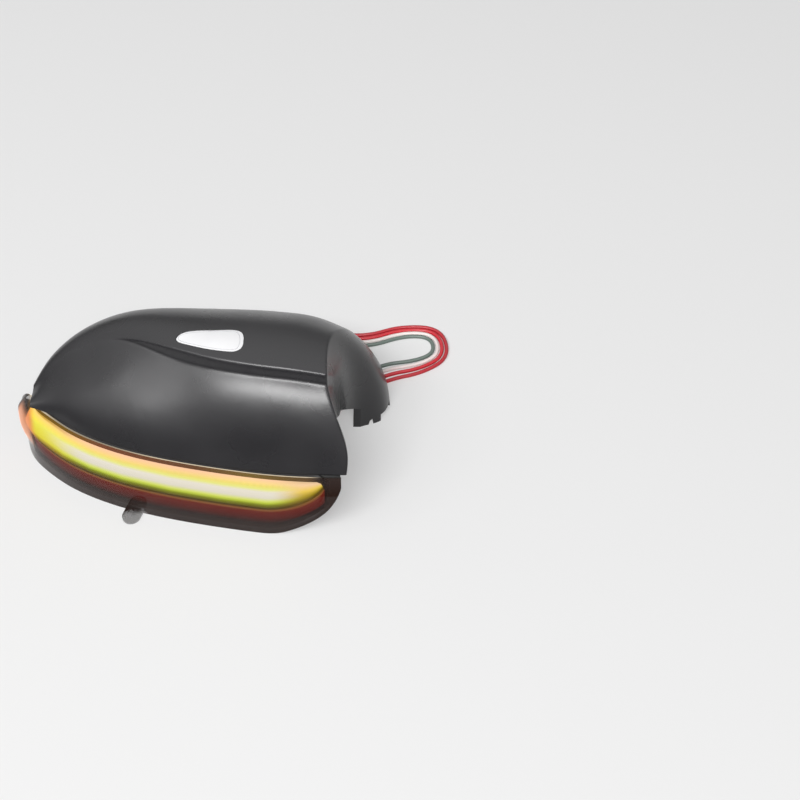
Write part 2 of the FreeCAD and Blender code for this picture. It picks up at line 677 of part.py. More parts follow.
def on_board(size, row, height):
    """Like parts that stand in a row on the board's front face, as one group."""
    count, start, end = row
    depth = BOARD_DEPTH - size[1] / 2 - FIT / 2
    places = [start + (end - start) * i / (count - 1) for i in range(count)]
    return Part.Compound([block(size, x, depth, height) for x in places])


def board_screws():
    made = []
    for x in BOARD_SCREW_X:
        head = inward_rod(SCREW_HEAD, x, BOARD_DEPTH - SCREW_HEAD_HEIGHT - FIT / 2,
                          BOARD_DEPTH - FIT / 2, BOARD_SCREW_HEIGHT)
        shank = inward_rod(SCREW_SHANK, x, BOARD_DEPTH - SCREW_HEAD_HEIGHT, BOSS_END - TRAY_WALL - FIT,
                           BOARD_SCREW_HEIGHT)
        slot = block((SCREW_HEAD, SCREW_HEAD_HEIGHT / 2, SLOT), x,
                     BOARD_DEPTH - SCREW_HEAD_HEIGHT, BOARD_SCREW_HEIGHT)
        made.append(head.fuse(shank).cut(slot))
    return Part.Compound(made)


def vent_plug():
    cap = inward_rod(VENT_HEAD, VENT_X, LAMP_DEPTH + 2 * FIT, LAMP_DEPTH + VENT_REACH, VENT_HEIGHT)
    neck = inward_rod(VENT_NECK, VENT_X, LAMP_DEPTH - TRAY_WALL - 1, LAMP_DEPTH + 1, VENT_HEIGHT)
    bore = inward_rod(VENT_NECK / 2, VENT_X, LAMP_DEPTH - 2 * TRAY_WALL, LAMP_DEPTH + VENT_REACH / 2,
                      VENT_HEIGHT)
    return cap.fuse(neck).cut(bore)


def lamp_screws():
    made = []
    for x in EAR_X:
        foot = ear_middle(x)
        head = rod(LAMP_SCREW_HEAD, LAMP_SCREW_HEAD_HEIGHT, foot - Z * (LAMP_SCREW_HEAD_HEIGHT + FIT))
        shank = rod(LAMP_SCREW_SHANK, LAMP_SCREW_LENGTH + EAR_THICKNESS, foot - Z * (1 + FIT))
        socket = prism(hexagon(foot - Z * (LAMP_SCREW_HEAD_HEIGHT + FIT), LAMP_SCREW_SHANK / 2),
                       Z * (LAMP_SCREW_HEAD_HEIGHT * 0.6))
        made.append(head.fuse(shank).cut(socket))
    return Part.Compound(made)


def hexagon(middle, radius):
    return [middle + V(radius * cos(k * pi / 3), radius * sin(k * pi / 3), 0) for k in range(6)]


# Leads, the bush that they leave through, and their plug

def grommet_body(size, start, end, spare=0.0):
    """Flat oval body that runs into the lamp between two depths."""
    width, height = size[0] + spare, size[1] + spare
    middle = (start + end) / 2
    made = block((width - height, end - start, height), LEAD_X, middle, LEAD_HEIGHT)
    place, way = lamp_place(share_at(LEAD_X))
    along = V(-way.y, way.x, 0)
    ends = [rod(height, end - start, place - way * start + Z * LEAD_HEIGHT
                + along * (side * (width - height) / 2), way * -1) for side in (-1, 1)]
    return made.fuse(ends).removeSplitter()


def cable_grommet():
    neck = grommet_body(GROMMET_NECK, LAMP_DEPTH - TRAY_WALL - 1, LAMP_DEPTH + 1)
    flange = grommet_body(GROMMET_FLANGE, LAMP_DEPTH + 2 * FIT, LAMP_DEPTH + GROMMET_LIP)
    tail = grommet_body(GROMMET_NECK, LAMP_DEPTH + 1, GROMMET_END)
    return neck.fuse([flange, tail])


def lead_route(side):
    """Corners of one lead, which lies beside the others."""
    points = [V(*place[:3]) for place in ROUTE]
    moved = []
    for i, point in enumerate(points):
        before = point - points[i - 1] if i > 0 else points[1] - point
        after = points[i + 1] - point if i < len(points) - 1 else before
        before, after = V(before.x, before.y, 0).normalize(), V(after.x, after.y, 0).normalize()
        middle = (before + after).normalize()
        across = V(-middle.y, middle.x, 0)
        moved.append(point + across * (side * ROUTE[i][3] / middle.dot(before)))
    return moved


def lead(name, side):
    """Lead as straight runs joined by tangent arcs."""
    corners = lead_route(side)
    runs = [(b - a).Length for a, b in zip(corners, corners[1:])]
    edges, at, length, radii = [], corners[0], 0.0, []
    for i in range(1, len(corners) - 1):
        back = (corners[i - 1] - corners[i]).normalize()
        on = (corners[i + 1] - corners[i]).normalize()
        reach = 0.45 * min(runs[i - 1], runs[i])
        half = (pi - back.getAngle(on)) / 2
        radii.append(reach / tan(half))
        start, end = corners[i] + back * reach, corners[i] + on * reach
        middle = corners[i] + (back + on).normalize() * (radii[-1] / cos(half) - radii[-1])
        edges += [Part.LineSegment(at, start).toShape(), Part.Arc(start, middle, end).toShape()]
        at = end
    edges.append(Part.LineSegment(at, corners[-1]).toShape())
    wire = Part.Wire(edges)
    ring = Part.Wire(Part.Circle(corners[0], corners[1] - corners[0], LEAD / 2).toShape())
    tube = wire.makePipeShell([ring], True, False)
    ideal = pi * LEAD ** 2 / 4 * wire.Length
    print(name, "length", round(wire.Length, 1), "least radius", round(min(radii), 1),
          "longest run", round(max(runs), 1), "volume ratio", round(tube.Volume / ideal, 4))
    return tube


def plug_box(start, end, width, height, middle=0.0):
    """Box on the plug's axis between two distances past the leads' ends."""
    tail = V(*ROUTE[-1][:3])
    return box(end - start, width, height, tail + V(-(start + end) / 2, 0, middle))


def connector_housing():
    body = plug_box(1, PLUG_LENGTH, PLUG_WIDTH, PLUG_HEIGHT)
    edges = [e for e in body.Edges if abs(e.tangentAt(e.FirstParameter).x) > 0.9]
    body = body.makeFillet(PLUG_WALL, edges)
    rail = plug_box(SEAL_LENGTH, PLUG_LENGTH - 2, RAIL_WIDTH, RAIL_HEIGHT + RAIL_SUNK,
                    (PLUG_HEIGHT + RAIL_HEIGHT - RAIL_SUNK) / 2)
    rails = [rail.translated(V(0, side * PLUG_WIDTH / 4, 0)) for side in (-1, 1)]
    inner = PLUG_WIDTH - 2 * PLUG_WALL, PLUG_HEIGHT - 2 * PLUG_WALL
    seat = plug_box(0, SEAL_LENGTH, *inner)
    socket = plug_box(PLUG_LENGTH - SOCKET_DEPTH, PLUG_LENGTH + 1, *inner)
    return body.fuse(rails).cut([seat, socket])


def connector_seal():
    inner = PLUG_WIDTH - 2 * PLUG_WALL - 2 * FIT, PLUG_HEIGHT - 2 * PLUG_WALL - 2 * FIT
    made = plug_box(3 * FIT, SEAL_LENGTH - FIT, *inner)
    core = plug_box(0, SEAL_LENGTH, inner[0] - SEAL_GROOVE, inner[1] - SEAL_GROOVE)
    for start in (SEAL_PITCH, 2 * SEAL_PITCH):
        groove = plug_box(start, start + SEAL_GROOVE, PLUG_WIDTH, PLUG_HEIGHT)
        made = made.cut(groove.cut(core))
    return made


def connector_terminals():
    pin = plug_box(PLUG_LENGTH - SOCKET_DEPTH + FIT, PLUG_LENGTH - 2, TERMINAL, TERMINAL)
    return Part.Compound([pin.translated(V(0, side * LEAD_PITCH, 0)) for side in lead_sides()])


def connector_lock():
    """Latch that lies on the plug between its two rails."""
    width = PLUG_WIDTH / 2 - RAIL_WIDTH - 4 * FIT
    low = PLUG_HEIGHT / 2 + FIT
    plate = plug_box(SEAL_LENGTH + 1, PLUG_LENGTH - 1, width, LATCH_THICKNESS, low + LATCH_THICKNESS / 2)
    ramp = plug_box(PLUG_LENGTH - 4, PLUG_LENGTH - 2, width, LATCH_RAMP, low + LATCH_RAMP / 2)
    return plate.fuse(ramp).removeSplitter()


def lead_sides():
    return [k - (len(LEAD_NAMES) - 1) / 2 for k in range(len(LEAD_NAMES))]


def build():
    net = cap_net()
    room = tray_room()
    nodes = {
        "mirror_cap": mirror_cap(net),
        "window_insert": window_insert(net),
        "lens_cover": lens_cover(),
        "lens_gasket": lens_gasket(room),
        "lamp_housing": lamp_housing(room),
        "light_guide": light_guide(),
        "guide_bezel": guide_bezel(),
        "led_board": led_board(),
        "leds": on_board(LED_SIZE, LED_ROW, LED_HEIGHT),
        "driver_chips": on_board(CHIP_SIZE, CHIP_ROW, CHIP_HEIGHT),
        "board_resistors": on_board(RESISTOR_SIZE, RESISTOR_ROW, RESISTOR_HEIGHT),
        "board_screws": board_screws(),
        "vent_plug": vent_plug(),
        "lamp_screws": lamp_screws(),
        "cable_grommet": cable_grommet(),
        "connector_housing": connector_housing(),
        "connector_seal": connector_seal(),
        "connector_terminals": connector_terminals(),
        "connector_lock": connector_lock(),
    }
    for name, side in zip(LEAD_NAMES, lead_sides()):
        nodes[name] = lead(name, side)
    os.makedirs("parts", exist_ok=True)
    for name, shape in nodes.items():
        shape = shape.translated(MIDDLE)
        size = shape.BoundBox
        print(name, shape.isValid(), round(shape.Volume), len(shape.Solids),
              "x %.1f %.1f y %.1f %.1f z %.1f %.1f" % (size.XMin, size.XMax, size.YMin, size.YMax,
                                                      size.ZMin, size.ZMax))
        shape.exportStep("parts/" + name + ".step")


build()
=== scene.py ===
"""Turn signal lamp of a car door mirror, fitted in its mirror cap, lying on a pale table."""
from math import atan2, hypot, radians

import bmesh
import bpy
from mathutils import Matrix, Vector
from mathutils.bvhtree import BVHTree


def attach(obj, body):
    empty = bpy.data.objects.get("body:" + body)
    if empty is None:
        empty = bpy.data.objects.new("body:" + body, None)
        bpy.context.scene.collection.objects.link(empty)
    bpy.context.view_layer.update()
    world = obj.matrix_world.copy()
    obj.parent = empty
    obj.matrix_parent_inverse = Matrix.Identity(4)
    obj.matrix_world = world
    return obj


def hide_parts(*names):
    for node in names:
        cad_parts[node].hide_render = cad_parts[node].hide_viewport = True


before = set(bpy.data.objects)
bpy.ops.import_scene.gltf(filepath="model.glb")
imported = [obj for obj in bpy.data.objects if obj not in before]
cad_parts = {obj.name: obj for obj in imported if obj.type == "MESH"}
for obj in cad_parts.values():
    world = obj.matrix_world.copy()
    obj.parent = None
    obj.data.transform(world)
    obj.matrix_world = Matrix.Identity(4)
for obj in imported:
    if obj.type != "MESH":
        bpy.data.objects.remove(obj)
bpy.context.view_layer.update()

# Camera
# A long lens looks down on the lamp's side, from about a metre away, as in the photograph.
FOCAL_LENGTH, SENSOR_WIDTH = 72.19, 36.0       # mm
look_at = Vector((0.1212, 0.0336, 0.0))
eye = Vector((0.1212, -0.6590, 0.7692))
lens = bpy.data.cameras.new("photo_camera")
lens.lens = FOCAL_LENGTH
lens.sensor_width = SENSOR_WIDTH
camera = bpy.data.objects.new("photo_camera", lens)
camera.location = eye
camera.rotation_euler = (look_at - eye).to_track_quat("-Z", "Y").to_euler()
bpy.context.scene.collection.objects.link(camera)
bpy.context.scene.camera = camera
bpy.context.scene.view_settings.view_transform = "Standard"


# Leads
# Four thin stranded wires in coloured PVC leave the lamp through its bush, run side by side out
# of the cap's low inner corner, turn back on the table and end in the plug behind the cap.
LEAD_WIDTH = 0.0026
LEAD_SIDES = (-1.5, -0.5, 0.5, 1.5)            # each wire's place beside the run's middle, in spacings
# Points of the run's middle in mm, each with the spacing from wire to wire there
LEAD_ROUTE = [(61.15, -53.98, 19, 2.9), (62.15, -38, 19, 2.9), (61.7, -14, 7, 3.0), (67.7, 13, 1.4, 3.4),
              (85.7, 39, 1.4, 4.0), (110.7, 57, 1.4, 4.7), (133.7, 61.5, 1.4, 3.8),
              (149.2, 72.5, 1.4, 3.0), (145.2, 93, 1.4, 2.9), (122.7, 94.5, 1.4, 3.0),
              (100.7, 85, 1.4, 3.2), (78.7, 86.5, 1.4, 3.4), (53.7, 90.5, 1.4, 3.2),
              (35.7, 92.8, 3.2, 2.9), (19.7, 93, 4.6, 2.9)]
LEAD_COLOURS = {"lead_crimson": "#B3202C", "lead_red": "#C62430", "lead_white": "#EFE3E0",
                "lead_green": "#66736C"}
FLOW_SCALE = 28.0                 # flow marks of a moulding in a metre
FLOW_DARK, FLOW_LIGHT = 0.86, 1.12
GLOSSIER, DULLER = 0.03, 0.04     # how far the roughness strays in flow marks
GRAIN_DEPTH = 0.25                # as a share of the grain's width


def tint(code):
    """Linear colour of an sRGB hex value."""
    parts = [int(code[i:i + 2], 16) / 255 for i in (1, 3, 5)]
    return tuple(c / 12.92 if c < 0.04045 else ((c + 0.055) / 1.055) ** 2.4 for c in parts) + (1.0,)


def put(tree, kind, settings, inputs):
    """Adds a node, with its settings, the values of its sockets and the links into them."""
    node = tree.nodes.new(kind)
    for name, value in settings.items():
        setattr(node, name, value)
    for name, value in inputs.items():
        if isinstance(value, bpy.types.NodeSocket):
            tree.links.new(value, node.inputs[name])
        else:
            node.inputs[name].default_value = value
    return node


def finish_named(name):
    """New material with an empty tree."""
    material = bpy.data.materials.new(name)
    material.use_nodes = True
    material.node_tree.nodes.clear()
    return material, material.node_tree


def moulded(name, colour, roughness, grain, relief, edge=0.0004, specular=0.5):
    """Moulded polymer: one colour with faint flow marks, a fine grain, and edges that are never sharp."""
    material, tree = finish_named(name)
    place = put(tree, "ShaderNodeTexCoord", {}, {}).outputs["Object"]
    flow = put(tree, "ShaderNodeTexNoise", {}, {"Vector": place, "Scale": FLOW_SCALE, "Detail": 3.0})
    dark = [c * FLOW_DARK for c in tint(colour)[:3]] + [1.0]
    light = [min(1.0, c * FLOW_LIGHT) for c in tint(colour)[:3]] + [1.0]
    shade = put(tree, "ShaderNodeMix", {"data_type": "RGBA"},
                {0: flow.outputs[0], 6: dark, 7: light})
    gloss = put(tree, "ShaderNodeMapRange", {},
                {0: flow.outputs[0], 1: 0.3, 2: 0.7, 3: roughness - GLOSSIER, 4: roughness + DULLER})
    grit = put(tree, "ShaderNodeTexNoise", {}, {"Vector": place, "Scale": 1 / grain, "Detail": 2.0})
    soft = put(tree, "ShaderNodeBevel", {"samples": 4}, {"Radius": edge})
    bump = put(tree, "ShaderNodeBump", {}, {"Strength": relief, "Distance": grain * GRAIN_DEPTH,
                                            "Height": grit.outputs[0], "Normal": soft.outputs[0]})
    shader = put(tree, "ShaderNodeBsdfPrincipled", {},
                 {"Base Color": shade.outputs[2], "Roughness": gloss.outputs[0],
                  "Normal": bump.outputs[0], "IOR": 1.5, "Specular IOR Level": specular})
    put(tree, "ShaderNodeOutputMaterial", {}, {"Surface": shader.outputs[0]})
    return material


def lead_points(side):
    """One wire's points, beside the middle of the run, in metres."""
    spots = [Vector(spot[:3]) for spot in LEAD_ROUTE]
    line = []
    for i, spot in enumerate(spots):
        before = spot - spots[i - 1] if i > 0 else spots[1] - spot
        after = spots[i + 1] - spot if i < len(spots) - 1 else before
        before, after = before.to_2d().normalized(), after.to_2d().normalized()
        middle = (before + after).normalized()
        shift = side * LEAD_ROUTE[i][3] / middle.dot(before)
        line.append((spot + Vector((-middle.y, middle.x, 0)) * shift) / 1000)
    return line


for side, (name, colour) in zip(LEAD_SIDES, LEAD_COLOURS.items()):
    curve = bpy.data.curves.new(name + "_wire", "CURVE")
    curve.dimensions = "3D"
    curve.bevel_depth = LEAD_WIDTH / 2
    curve.bevel_resolution = 5
    curve.resolution_u = 10
    curve.use_fill_caps = True
    spline = curve.splines.new("NURBS")
    line = lead_points(side)
    spline.points.add(len(line) - 1)
    for point, spot in zip(spline.points, line):
        point.co = (*spot, 1.0)
    spline.order_u = 3
    spline.use_endpoint_u = True
    # Extruded PVC: smooth and half glossy, a little uneven where it was bent by hand
    curve.materials.append(moulded(name + "_pvc", colour, 0.36, 0.0009, 0.25, 0.0001))
    wire = bpy.data.objects.new(name + "_wire", curve)
    bpy.context.scene.collection.objects.link(wire)
    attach(wire, "root")
    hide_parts(name)


# Plug
# A small four way housing in black nylon holds the wires' pins; its red silicone seal closes the
# back, and a latch between two rails snaps under the car's socket.
MERGE_DISTANCE = 2e-6             # metres


def stay(node, material):
    """A CAD node whose shape is right keeps it and takes a material."""
    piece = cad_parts[node]
    piece.data.materials.clear()
    piece.data.materials.append(material)
    return piece


def skin_of(node, name, angle):
    """Merged copy of a CAD node that stands for it, softly shaded up to an angle."""
    mesh = bpy.data.meshes.new(name)
    work = bmesh.new()
    work.from_mesh(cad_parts[node].data)
    bmesh.ops.remove_doubles(work, verts=work.verts, dist=MERGE_DISTANCE)
    for face in work.faces:
        face.smooth = True
        face.material_index = 0
    for edge in work.edges:
        edge.smooth = len(edge.link_faces) == 2 and edge.calc_face_angle(0.0) < radians(angle)
    work.to_mesh(mesh)
    work.free()
    piece = bpy.data.objects.new(name, mesh)
    bpy.context.scene.collection.objects.link(piece)
    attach(piece, "root")
    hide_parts(node)
    return piece


# Glass filled nylon: dull black with a fine spark eroded grain
nylon = moulded("black_nylon", "#26262A", 0.5, 0.0005, 0.3, 0.0003)
housing = skin_of("connector_housing", "plug_housing", 30)
housing.data.materials.append(nylon)
latch = skin_of("connector_lock", "plug_latch", 30)
latch.data.materials.append(nylon)
# Silicone: soft looking, rust red, hardly any gloss
silicone = moulded("red_silicone", "#7A2B1C", 0.62, 0.0006, 0.15, 0.0002)
plug_seal = skin_of("connector_seal", "plug_seal", 30)
plug_seal.data.materials.append(silicone)


MARK_DEPTH = 0.2                  # of tool marks, as a share of their width
MARK_GLOSS = 0.08                 # how far the roughness strays in them


def bare_metal(name, colour, roughness, grain, drawn=(1.0, 1.0, 1.0)):
    """Plated or rolled metal: its own colour, with fine tool marks along one way."""
    material, tree = finish_named(name)
    place = put(tree, "ShaderNodeTexCoord", {}, {}).outputs["Object"]
    along = put(tree, "ShaderNodeMapping", {}, {"Vector": place, "Scale": drawn})
    marks = put(tree, "ShaderNodeTexNoise", {}, {"Vector": along.outputs[0], "Scale": 1 / grain})
    rough = put(tree, "ShaderNodeMapRange", {},
                {0: marks.outputs[0], 1: 0.3, 2: 0.7,
                 3: roughness - MARK_GLOSS, 4: roughness + MARK_GLOSS})
    bump = put(tree, "ShaderNodeBump", {}, {"Strength": 0.2, "Distance": grain * MARK_DEPTH,
                                            "Height": marks.outputs[0]})
    shader = put(tree, "ShaderNodeBsdfPrincipled", {},
                 {"Base Color": tint(colour), "Metallic": 1.0, "Roughness": rough.outputs[0],
                  "Normal": bump.outputs[0]})
    put(tree, "ShaderNodeOutputMaterial", {}, {"Surface": shader.outputs[0]})
    return material


# Tinned brass: a warm grey with drawing marks along each pin
pins = stay("connector_terminals", bare_metal("tinned_brass", "#B9B2A2", 0.32, 0.0003, (0.15, 1, 1)))


# Mirror cap
# The outer shell of the mirror: black ABS, injection moulded in one piece with its crease, its
# window hole, the foot for the arm and the ribs, screw bosses and snap hooks inside.
cap = skin_of("mirror_cap", "cap_shell", 21)
# Satin ABS: near black, with a broad soft gloss from a grain of about 0.3 mm, drawn at 0.5
cap.data.materials.append(moulded("satin_abs", "#19181B", 0.28, 0.0005, 0.12, 0.0007))


# Window insert
# A pale clear polycarbonate plate lies from inside in a ledge round the cap's window.
insert = skin_of("window_insert", "window_plate", 25)
material, tree = finish_named("pale_polycarbonate_painted_glow")
# Clear polycarbonate with a frosted back, as pale as what lies round it, with a faint painted glow
# (emission) that makes it look lit
place = put(tree, "ShaderNodeTexCoord", {}, {}).outputs["Object"]
haze = put(tree, "ShaderNodeTexNoise", {}, {"Vector": place, "Scale": 60.0})
shade = put(tree, "ShaderNodeMix", {"data_type": "RGBA"},
            {0: haze.outputs[0], 6: tint("#E6E6E8"), 7: tint("#F4F4F5")})
shader = put(tree, "ShaderNodeBsdfPrincipled", {},
             {"Base Color": shade.outputs[2], "Roughness": 0.22, "IOR": 1.58,
              "Emission Color": tint("#EDEDEF"), "Emission Strength": 0.06})
put(tree, "ShaderNodeOutputMaterial", {}, {"Surface": shader.outputs[0]})
insert.data.materials.append(material)
BEAD_RADIUS = 0.00016             # metres
ABOVE_CAP = 0.12                  # height in metres from which the bead is dropped on the plate
# The bead's line in plan, in mm
BEAD = [(-9.9, 0.4), (-7.0, 2.8), (-2.2, 3.7), (5.7, 3.9), (15.0, 3.8), (22.6, 3.7), (25.6, 2.4),
        (27.2, -1.1), (27.7, -6.6), (27.0, -11.3), (25.4, -12.7), (21.2, -13.0), (13.1, -11.3),
        (4.1, -8.3), (-3.9, -4.9), (-8.3, -2.6)]
crown = BVHTree.FromPolygons([v.co for v in insert.data.vertices],
                             [p.vertices for p in insert.data.polygons])
curve = bpy.data.curves.new("window_bead", "CURVE")
curve.dimensions = "3D"
curve.bevel_depth = BEAD_RADIUS
curve.bevel_resolution = 2
spline = curve.splines.new("NURBS")
spline.points.add(len(BEAD) - 1)
for point, (x, y) in zip(spline.points, BEAD):
    over, _, _, _ = crown.ray_cast(Vector((x / 1000, y / 1000, ABOVE_CAP)), Vector((0, 0, -1)))
    point.co = (x / 1000, y / 1000, over.z, 1.0)
spline.use_cyclic_u = True
spline.order_u = 3
# The same clear plastic, where a fine moulded bead shows grey
# A fine moulded bead of the same clear plastic, coloured grey: painted shade that stands for the shaded
# inner rim of the window
curve.materials.append(moulded("bead_painted_rim_shade", "#BFBFC3", 0.3, 0.0005, 0.05, 0.0001))
bead = bpy.data.objects.new("window_bead", curve)
bpy.context.scene.collection.objects.link(bead)
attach(bead, "root")


# Lens
# One moulding in smoked polycarbonate wraps round the tip. It is polished outside, so what glows
# behind it shows sharp; a black band is moulded on along its foot and its inner end.
LENS_CLEAR = 0.42                 # share of light that the wall lets through
LENS_TOP = 43.6                   # mm, as are the other sizes here where nothing else is said
LENS_OUTER, LENS_LENGTH = -112.0, 190.0
FOOT_TURN, FOOT_END = 41.7, 88.3
BAR_FOOT, BAR_TOP = 19.5, 39.8
BAR_TURN, BAR_END = 40.7, 77.2
CORNER_POWER = 1.5
MOST_CUTS = 4                     # rounds in which a long edge is cut in two
EDGE_HEIGHT, EDGE_AREA = 0.030, 0.0003         # least height and area of the upper edge, in metres

# The black band: soft steps up from the foot, down from the bar, in at the inner end, in from the
# tip, and back where the lens closes round the tip, and how dark each part is
BAND_FADE, BELOW_BAR_FADE, INNER_FADE = (3.5, 8.0), (5.0, 12.0), (76.0, 80.0)
TIP_FADE, REAR_FADE = (-110.5, -104.0), (1.0, 6.0)
BAND_SHADE, BELOW_BAR_SHADE, REAR_SHADE, END_SHADE = 0.97, 0.9, 0.9, 0.7
TONGUE_X, TONGUE_HALF_WIDTH, TONGUE_BACK, TONGUE_FADE = -39.8, 7.0, -58.5, (1.7, 2.2)
TONGUE_CLEAR = 0.45

# The light in the wall: soft steps out, back and up to where the tip glows, and along the edge
END_GLOW_OUT, END_GLOW_BACK = (101.0, 107.0), (-3.0, 3.0)
END_GLOW_LOW, END_GLOW_HIGH = (14.0, 23.0), (33.0, 39.0)
LIT_DIP, LIT_DIP_START, LIT_DIP_END = 0.5, (20.0, 50.0), (84.0, 98.0)
LIT_INNER, LIT_TIP, HALO_TIP = (66.0, 76.0), (-108.0, -103.0), (-107.0, -101.0)
HALO_RISE = (3.5, 1.0)            # below the bar's top


def turned_up(x, start, end, low, high):
    """Height of a lower edge that turns up in a round corner at the inner end."""
    t = min(1.0, max(0.0, (x - start) / (end - start)))
    return low + (high - low) * (1 - (1 - t ** CORNER_POWER) ** (1 / CORNER_POWER))


def bar_foot(x):
    return turned_up(x, BAR_TURN, BAR_END, BAR_FOOT, BAR_TOP - 1)


def ramp(value, start, end):
    """Soft step from 0 to 1 between two values."""
    t = min(1.0, max(0.0, (value - start) / (end - start)))
    return t * t * (3 - 2 * t)


def finely(piece, longest):
    """Cuts a piece's long edges, so that a value on its vertices changes smoothly."""
    work = bmesh.new()
    work.from_mesh(piece.data)
    for _ in range(MOST_CUTS):
        long_edges = [edge for edge in work.edges if edge.calc_length() > longest]
        if not long_edges:
            break
        bmesh.ops.subdivide_edges(work, edges=long_edges, cuts=1)
        bmesh.ops.triangulate(work, faces=[face for face in work.faces if len(face.verts) > 3])
    work.to_mesh(piece.data)
    work.free()


def note(piece, name, rule):
    """Stores a value for each vertex, as a material reads it."""
    values = piece.data.attributes.new(name, "FLOAT", "POINT")
    for i, vertex in enumerate(piece.data.vertices):
        values.data[i].value = rule(vertex.co * 1000)


def smooth_regions(piece):
    """Groups of faces that meet in soft edges."""
    work = bmesh.new()
    work.from_mesh(piece.data)
    work.faces.ensure_lookup_table()
    groups, left = [], set(range(len(work.faces)))
    while left:
        group, front = [], [left.pop()]
        while front:
            face = work.faces[front.pop()]
            group.append(face.index)
            for edge in face.edges:
                if edge.smooth:
                    for other in edge.link_faces:
                        if other.index in left:
                            left.discard(other.index)
                            front.append(other.index)
        groups.append(group)
    work.free()
    return groups


def area_of(faces):
    return sum(face.area for face in faces)


lens_piece = skin_of("lens_cover", "lens", 24)
regions = [[lens_piece.data.polygons[i] for i in group] for group in smooth_regions(lens_piece)]
regions.sort(key=area_of, reverse=True)
for face in regions[1]:                       # the wall's inner side, next in size to its outer side
    face.material_index = 2
for faces in regions[2:]:
    area = area_of(faces)
    height = sum(face.center.z * face.area for face in faces) / area
    if height > EDGE_HEIGHT and area > EDGE_AREA:
        for face in faces:
            face.material_index = 1
finely(lens_piece, longest=0.004)


def smoke(spot):
    """1 where the black band lies behind the lens, 0 where the lens is clear, less in its tongue."""
    foot = turned_up(spot.x, FOOT_TURN, FOOT_END, 0.0, LENS_TOP)
    band = 1 - ramp(spot.z - foot, *BAND_FADE)
    dark = ramp(bar_foot(spot.x) - spot.z, *BELOW_BAR_FADE)
    inner = ramp(spot.x, *INNER_FADE)
    tip = ramp(spot.x, *TIP_FADE)
    in_tongue = abs(spot.x - TONGUE_X) < TONGUE_HALF_WIDTH and spot.y < TONGUE_BACK
    tongue = 1 - ramp(spot.z, *TONGUE_FADE) if in_tongue else 0.0
    shade = max(max(band * BAND_SHADE, dark * BELOW_BAR_SHADE, inner) * tip,
                ramp(spot.y, *REAR_FADE) * REAR_SHADE)
    return max(shade, end_glow(spot) * END_SHADE) * (1 - tongue) - TONGUE_CLEAR * tongue


def end_glow(spot):
    """1 where the lens's wall itself glows, at the outer tip past the end of the bar."""
    return (ramp(-spot.x, *END_GLOW_OUT) * (1 - ramp(spot.y, *END_GLOW_BACK))
            * ramp(spot.z, *END_GLOW_LOW) * (1 - ramp(spot.z, *END_GLOW_HIGH)))


def lit_edge(spot):
    """How far the light in the wall reaches along its upper edge."""
    dip = 1 - LIT_DIP * ramp(-spot.x, *LIT_DIP_START) * (1 - ramp(-spot.x, *LIT_DIP_END))
    return dip * (1 - ramp(spot.x, *LIT_INNER)) * ramp(spot.x, *LIT_TIP)


def halo_at(spot):
    """How far the wall shows a warm halo, along the upper edge of the bar."""
    start, end = (BAR_TOP - below for below in HALO_RISE)
    return ramp(spot.z, start, end) * (1 - ramp(spot.x, *LIT_INNER)) * ramp(spot.x, *HALO_TIP)


note(lens_piece, "smoke", smoke)
note(lens_piece, "end_glow", end_glow)
note(lens_piece, "lit", lit_edge)
note(lens_piece, "halo", halo_at)
note(lens_piece, "along", lambda spot: (spot.x - LENS_OUTER) / LENS_LENGTH)
HALO_COLOURS = [(0.0, "#A07808"), (0.17, "#A07808"), (0.3, "#A05A34"), (0.6, "#88582E"),
                (0.76, "#A08030"), (1.0, "#6A4A2C")]


def set_stops(shades, colours):
    """Gives a row of shades its colours, each at its place from 0 to 1."""
    stops = shades.color_ramp.elements
    stops[0].color, stops[1].color = tint(colours[0][1]), tint(colours[-1][1])
    for at, colour in colours[1:-1]:
        stops.new(at).color = tint(colour)


material, tree = finish_named("smoked_polycarbonate")
# Polished and faintly brown; waves of the moulding are wide and very shallow
place = put(tree, "ShaderNodeTexCoord", {}, {}).outputs["Object"]
wave = put(tree, "ShaderNodeTexNoise", {}, {"Vector": place, "Scale": 45.0, "Detail": 1.0})
bump = put(tree, "ShaderNodeBump", {}, {"Strength": 0.08, "Distance": 0.0004,
                                        "Height": wave.outputs[0]})
band = put(tree, "ShaderNodeAttribute", {"attribute_name": "smoke"}, {})
solid = put(tree, "ShaderNodeMapRange", {"clamp": False},
            {0: band.outputs["Fac"], 3: 1 - LENS_CLEAR, 4: 1.0})
along = put(tree, "ShaderNodeAttribute", {"attribute_name": "along"}, {})
warm = put(tree, "ShaderNodeValToRGB", {}, {0: along.outputs["Fac"]})
set_stops(warm, HALO_COLOURS)
near_bar = put(tree, "ShaderNodeAttribute", {"attribute_name": "halo"}, {})
halo = put(tree, "ShaderNodeMix", {"data_type": "RGBA"},
           {0: near_bar.outputs["Fac"], 6: tint("#000000"), 7: warm.outputs[0]})
past_bar = put(tree, "ShaderNodeAttribute", {"attribute_name": "end_glow"}, {})
glowing = put(tree, "ShaderNodeMix", {"data_type": "RGBA"},
              {0: past_bar.outputs["Fac"], 6: halo.outputs[2], 7: tint("#F4A274")})
shader = put(tree, "ShaderNodeBsdfPrincipled", {},
             {"Base Color": tint("#241611"), "Roughness": 0.08, "IOR": 1.58, "Specular IOR Level": 0.2,
              "Alpha": solid.outputs[0], "Normal": bump.outputs[0],
              "Emission Color": glowing.outputs[2], "Emission Strength": 0.8})
put(tree, "ShaderNodeOutputMaterial", {}, {"Surface": shader.outputs[0]})
lens_piece.data.materials.append(material)
material, tree = finish_named("lit_polycarbonate_edge")
